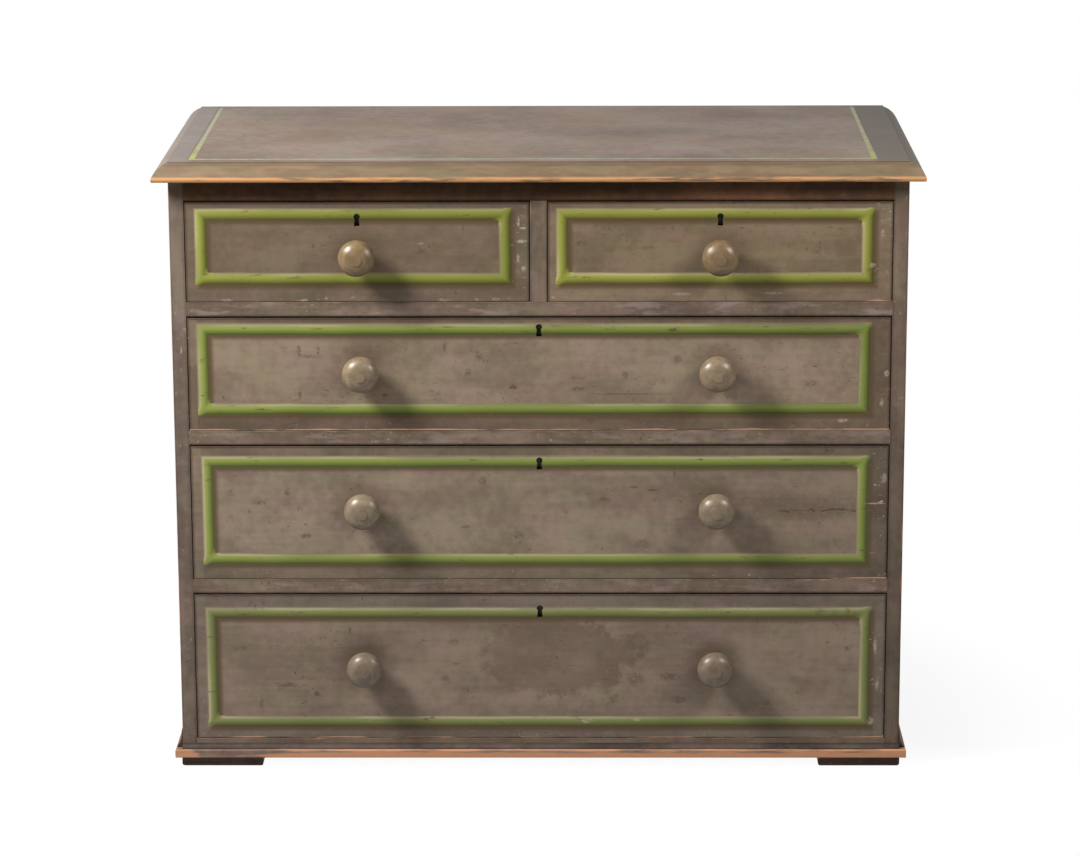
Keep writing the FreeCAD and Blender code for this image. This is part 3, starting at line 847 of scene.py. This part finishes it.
def top_flat(look, across, front):
    """The flat of the top, greyer at its ends and tan at its front: colour, brush marks and scuffs."""
    colour, brush = brushed_paint(look, top_paint, top_clouds)
    colour = look.mix(look.layer(top_patches) * top_tan_depth, colour, top_tan)
    dark_marks = scuffs(look)
    colour = look.mix(dark_marks, colour, scuff_brown)
    end_depth = look.blend(top_end_depths, 1, look.smooth(look.x, 0, side_x))
    end_tone = look.mix(look.smooth(look.x, -side_x / 2, side_x / 2), top_end_left, top_end)
    colour = look.mix(look.smooth(across, *top_end_edge) * end_depth, colour, end_tone)
    return look.mix(front * top_front_tan, colour, top_tan), brush, dark_marks


def top_line(look, colour, across):
    """The faint green line on the flat: the colour with it, and where it lies."""
    inside = look.least(across, look.y - top_line_front)
    far = look.behind(*top_line_far)
    front_run = look.smooth(across, *front_run_reach)
    dark_side = look.smooth(inside, *dark_side_start) * look.smooth(inside, *dark_side_end)
    colour = look.mix(dark_side * dark_side_depth, colour, scuff_brown)
    on_line = look.smooth(abs(inside) / look.blend(top_line_halves, 1, far), *top_line_edge)
    on_line = on_line * look.smooth(top_high.y - look.y, *top_line_back)
    on_line = on_line * look.blend(top_line_kept, 1, look.layer(top_rubs))
    on_line = on_line * look.blend(top_line_depths, 1, front_run, far)
    paint = look.mix(look.most(front_run, far * top_line_far_pale), top_green, top_line_pale)
    return look.mix(on_line, colour, paint), on_line


def top_moulding(look, colour, front):
    """Olive, tan and brown on the moulded edge, most at the front, with the groove there darker."""
    below = top_high.z - look.z
    moulding = look.smooth(below, *moulding_edge)
    paint = look.mix(look.layer(moulding_casts), top_olive, top_tan)
    paint = look.mix(look.layer(moulding_patches) * moulding_brown, paint, top_brown)
    colour = look.mix(moulding * look.blend(moulding_depths, 1, front), colour, paint)
    groove = moulding * look.smooth(below, *groove_reach) * front
    return look.mix(groove * groove_depth, colour, scuff_brown)


def painted_top():
    """Worn umber paint with a faint green line on the flat, tan on the moulding and bare on the lip."""
    look = Look("top_paint", "x", starts["top"])
    across = look.least(look.x - top_line_left, top_line_right - look.x)
    front = look.behind(*top_front)
    colour, brush, dark_marks = top_flat(look, across, front)
    colour, on_line = top_line(look, colour, across)
    colour = top_moulding(look, colour, front)
    corner = look.smooth(abs(look.x), side_x - top_lip_corner, side_x)
    worn = look.smooth(look.blend(top_lip_wear, look.layer(top_rubbing), front, corner), *top_lip_levels)
    worn = worn * look.smooth(look.z - top_low.z, *top_lip)
    colour = look.mix(worn, colour, worn_lip)
    return look.done(colour, top_surface, (brush, worn), (brush, on_line, dark_marks, worn))


def painted_base():
    """Brown paint on the base board, worn to orange pine along most of its lip."""
    look = Look("base_paint", "x", starts["base"])
    colour, brush = brushed_paint(look, base_paint)
    dark_marks = scuffs(look)
    colour = look.mix(dark_marks, colour, scuff_brown)
    from_middle = abs(look.x)
    lip = look.smooth(look.most(front_y - look.y, from_middle - side_x), *base_lip)
    lower = look.smooth(look.z, *base_lower)
    left_end = look.smooth(look.x, *base_left_end)
    tip = look.smooth(from_middle, *base_tip)
    wear = look.blend(base_wear, look.layer(base_rubbing), lower, left_end, tip)
    worn = lip * look.smooth(wear, *base_wear_levels)
    colour = look.mix(worn * base_worn_depth, colour, worn_base)
    return look.done(colour, base_surface, (brush, worn), (brush, dark_marks, worn))


def dark_paint(name, paint, shift):
    """Dark brown paint low on the chest."""
    look = Look(name, "x", shift)
    colour, brush = brushed_paint(look, paint)
    chipped = chips(look) * low_chip_depth
    colour = look.mix(chipped, colour, worn_rust)
    return look.done(colour, low_surface, (brush,), (brush, chipped))


def painted_knob(drawer):
    """The same umber, rubbed smooth and shiny by hands."""
    look = Look(drawer + "_knob_paint", "y", starts["knob"])
    mottle = look.layer(knob_mottle)
    turning = look.layer(knob_turning)
    thick = look.smooth(look.blend(knob_shares, mottle, turning), *knob_levels)
    dark = tuple(part * knob_dark_share for part in knob_light[drawer][:3]) + (1.0,)
    colour = look.mix(thick, dark, knob_light[drawer])
    colour = look.mix(look.behind(*knob_bare), colour, pine_tones[0])
    return look.done(colour, knob_surface, (mottle,), (turning, mottle))


def pine(name, grain, shift):
    """Unpainted pine."""
    look = Look(name, grain, shift)
    colour, relief = bare_wood(look, pine_tones)
    return look.done(colour, pine_surface, (relief,), (relief,))


def boarded_pine():
    """Darkened pine boards, each with its own grain and tone, and dirt in the joints between them."""
    look = Look("back_pine", "x", starts["back"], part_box("back_boards"))
    damp = look.smooth(look.z, look.low.z + back_damp_height, look.low.z) * look.layer(back_damp)
    pitch = (look.high.x - look.low.x) / back_board_count
    along = (look.x - look.low.x) / pitch
    board = look.maths("FLOOR", along)
    look.grain = "z"
    look.shift = board * board_step + starts["back"]
    colour, relief = bare_wood(look, back_tones)
    board_tone = look.maths("FRACT", board * back_tone_step)
    colour = look.shade(colour, 1 - board_tone * back_tone_range)
    from_joint = (0.5 - abs(look.maths("FRACT", along) - 0.5)) * pitch
    colour = look.mix(look.smooth(from_joint, *back_joint_dirt) * back_joint_depth, colour, dirt_and_shade_brown)
    colour = look.mix(damp, colour, scuff_brown)
    return look.done(colour, back_surface, (relief,), (relief,))


def lock_iron():
    """Filed iron gone brown in patches, and painted near black as shade where it lies behind the drawer front
    and shows through the keyhole.
    """
    look = Look("lock_iron")
    filing = look.layer(iron_filing)
    rust = look.layer(iron_patches)
    # Painted shade: near black where the lock lies behind the drawer front
    hidden = look.smooth(look.y, *lock_shade_from)
    colour = look.mix(hidden, look.mix(rust, iron_grey, iron_rust), painted_shade_black)
    metallic = look.blend(iron_metal, 1, rust) * (1 - hidden)
    return look.done(colour, iron_surface, (filing, rust), (filing, rust), metallic)


def dress(material, *nodes):
    """Gives a material to nodes of the frame."""
    for node in nodes:
        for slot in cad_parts[node].material_slots:
            slot.material = material


# Looks of the pieces
iron = lock_iron()
pine_long = pine("pine_along_front", "x", starts["pine_long"])
pine_deep = pine("pine_front_to_back", "y", starts["pine_deep"])

dress(painted_top(), "top_board")
for number, (rail, (wear, gain, pale_patch_share)) in enumerate(rail_looks.items()):
    dress(painted_carcass(rail + "_paint", "x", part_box(rail), wear, worn_rail, number * rail_step,
                          0.0, gain, pale_patch_share), rail)
dress(painted_carcass("muntin_paint", "z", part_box("centre_muntin"), muntin_wear, worn_rail, starts["muntin"],
                      muntin_foot_darkening), "centre_muntin")
for side, (wear, foot_darkening, gain, cast) in side_looks.items():
    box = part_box("side_panel_" + side)
    dress(painted_carcass("side_paint_" + side, "z", box, wear, worn_rust, starts["side"],
                          foot_darkening, gain, cast=cast), "side_panel_" + side)
dress(painted_base(), "base_board")
dress(dark_paint("cove_paint", cove_paint, starts["cove"]),
      "base_moulding_front", "base_moulding_left", "base_moulding_right")
dress(dark_paint("foot_paint", foot_paint, starts["foot"]), "block_feet")
dress(pine_deep, "drawer_runners", "kickers", "centre_guide")
dress(pine_long, "drawer_stops")
dress(boarded_pine(), "back_boards")
for drawer in drawers:
    dress(painted_front(drawer), drawer + "_front")
    dress(painted_knob(drawer), drawer + "_knobs")
    dress(pine_deep, drawer + "_side_left", drawer + "_side_right")
    dress(pine_long, drawer + "_back", drawer + "_bottom")
    dress(iron, drawer + "_lock_case", drawer + "_lock_bolt")


def added(operator, **settings):
    """A new piece, the only one selected, with its size and turn applied."""
    bpy.ops.object.select_all(action="DESELECT")
    operator(**settings)
    bpy.ops.object.transform_apply()
    return bpy.context.object


def choose_outer_face(piece):
    """Selects, in edit mode, the face of a small piece that lies furthest along +Y."""
    bpy.ops.object.mode_set(mode="EDIT")
    bpy.ops.mesh.select_mode(type="FACE")
    bpy.ops.mesh.select_all(action="DESELECT")
    bpy.ops.object.mode_set(mode="OBJECT")
    outermost = max(piece.data.polygons, key=lambda face: face.center.y)
    outermost.select = True
    bpy.ops.object.mode_set(mode="EDIT")


def finish_mesh():
    """Makes the normals of the piece in edit mode point outwards, and leaves edit mode."""
    bpy.ops.mesh.select_all(action="SELECT")
    bpy.ops.mesh.normals_make_consistent(inside=False)
    bpy.ops.object.mode_set(mode="OBJECT")


def screw_head():
    """A low domed screw head with a slot, facing +Y at the origin."""
    head = added(bpy.ops.mesh.primitive_cylinder_add, vertices=screw_sides, radius=screw_radius,
                 depth=screw_height, rotation=(-math.pi / 2, 0, 0))
    for share in screw_steps:
        choose_outer_face(head)
        bpy.ops.mesh.inset(thickness=screw_radius * share)
        bpy.ops.transform.translate(value=(0, screw_dome * share, 0))
        bpy.ops.object.mode_set(mode="OBJECT")
    bpy.ops.object.mode_set(mode="EDIT")
    finish_mesh()
    slot = added(bpy.ops.mesh.primitive_cube_add, size=1, scale=screw_slot,
                 location=(0, screw_height / 2 + screw_dome, 0))
    bpy.ops.object.select_all(action="DESELECT")
    bpy.context.view_layer.objects.active = head
    cut = head.modifiers.new("slot", "BOOLEAN")
    cut.operation = "DIFFERENCE"
    cut.object = slot
    bpy.ops.object.modifier_apply(modifier=cut.name)
    bpy.data.objects.remove(slot)
    return head


def nail_head():
    """The rough head of a cut nail, facing +Y at the origin."""
    head = added(bpy.ops.mesh.primitive_cube_add, size=1, scale=(nail_length, nail_height, nail_width))
    choose_outer_face(head)
    bpy.ops.mesh.inset(thickness=nail_inset)
    bpy.ops.transform.translate(value=(0, nail_rise, 0))
    bpy.ops.mesh.select_all(action="SELECT")
    bpy.ops.mesh.bevel(offset=nail_bevel, segments=2)
    finish_mesh()
    return head


def copies(pattern, name, places, turns):
    """Copies of a small piece, each turned about Y, joined into one piece."""
    made = []
    for place, turn in zip(places, turns):
        copy = pattern.copy()
        copy.data = pattern.data.copy()
        copy.matrix_world = Matrix.Translation(place) @ Matrix.Rotation(turn, 4, "Y")
        bpy.context.collection.objects.link(copy)
        made.append(copy)
    bpy.ops.object.select_all(action="DESELECT")
    for copy in made:
        copy.select_set(True)
    bpy.context.view_layer.objects.active = made[0]
    bpy.ops.object.transform_apply()
    bpy.ops.object.join()
    joined = bpy.context.object
    joined.name = name
    joined.data.name = name
    joined.data.materials.append(iron)
    return joined


def make_lock_screws():
    """Four screws hold each lock to the back of its drawer front."""
    head = screw_head()
    for drawer in drawers:
        low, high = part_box(drawer + "_lock_case")
        out = high.y + screw_height * head_lift
        places = [(x, out, z) for x in (low.x + screw_inset, high.x - screw_inset)
                  for z in (low.z + screw_inset, high.z - screw_inset)]
        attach(copies(head, drawer + "_lock_screws", places, screw_turns), drawer + "_drawer")
    bpy.data.objects.remove(head)


def make_back_nails():
    """Nails hold the back boards to the side panels and to the ends of the runners and kickers."""
    head = nail_head()
    low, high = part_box("back_boards")
    step = (high.z - low.z) / nail_rows
    spots = [(high.x - nail_from_edge, low.z + step * (row + 0.5)) for row in range(nail_rows)]
    for rail in rail_looks:
        rail_low, rail_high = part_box(rail)
        level = (rail_low.z + rail_high.z) / 2
        spots.append((high.x - nail_in_runner, level))
        if rail in ("frieze_rail", "drawer_rail_upper"):
            spots.append((nail_in_centre, level))
    places = [(side * x, back_y + nail_height * head_lift, z) for side in (-1, 1) for x, z in spots]
    turns = [nail_turns[number % len(nail_turns)] for number in range(len(places))]
    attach(copies(head, "back_nails", places, turns), "carcass")
    bpy.data.objects.remove(head)


make_lock_screws()
make_back_nails()


def seen_directly(shader):
    """1 for what the camera, a mirror or glass sees, and 0 for light that falls on the chest."""
    rays = [shader.node("LightPath", {}, {}, ray) for ray in
            ("Is Camera Ray", "Is Glossy Ray", "Is Transmission Ray")]
    return shader.least(reduce(add, rays), 1.0)


def make_floor():
    """A white studio floor that shows the chest's shadow."""
    floor = added(bpy.ops.mesh.primitive_plane_add, size=2 * floor_reach)
    floor.name = "studio_floor"
    look = Look("studio_white")
    seen = seen_directly(look)
    paper = look.node("BsdfDiffuse", {}, {"Color": look.mix(seen, floor_bounce, white)})
    glow = look.node("Emission", {}, {"Color": white, "Strength": 1.0})
    away = look.away(look.x, look.y)
    shaded = look.smooth(look.y, *floor_shadow_front) * (1 - look.smooth(away, *floor_shadow_reach))
    white_share = 1 - shaded * (1 - floor_white_share)
    look.end("OutputMaterial", look.node("MixShader", {}, {0: seen * white_share, 1: paper, 2: glow}))
    floor.data.materials.append(look.material)


def make_sky():
    """A dim even light from all round, white where it is looked at."""
    world = bpy.data.worlds.new("studio")
    bpy.context.scene.world = world
    sky = Shader(world)
    strength = sky_strength + (1 - sky_strength) * seen_directly(sky)
    sky.end("OutputWorld", sky.node("Background", {}, {"Strength": strength}))


def make_softbox(name, place, aim, width, height, watts):
    bpy.ops.object.light_add(type="AREA", location=place)
    lamp = bpy.context.object
    lamp.name = name
    lamp.data.shape = "RECTANGLE"
    lamp.data.size = width
    lamp.data.size_y = height
    lamp.data.energy = watts
    lamp.rotation_euler = (Vector(aim) - Vector(place)).to_track_quat("-Z", "Y").to_euler()


def make_camera():
    bpy.ops.object.camera_add(location=camera_place, rotation=[math.radians(turn) for turn in camera_turn])
    camera = bpy.context.object
    camera.data.lens = camera_lens
    camera.data.sensor_width = camera_sensor
    bpy.context.scene.camera = camera


make_floor()
make_sky()
for name, facts in softboxes.items():
    make_softbox(name, *facts)
make_camera()
bpy.context.scene.view_settings.view_transform = "Standard"
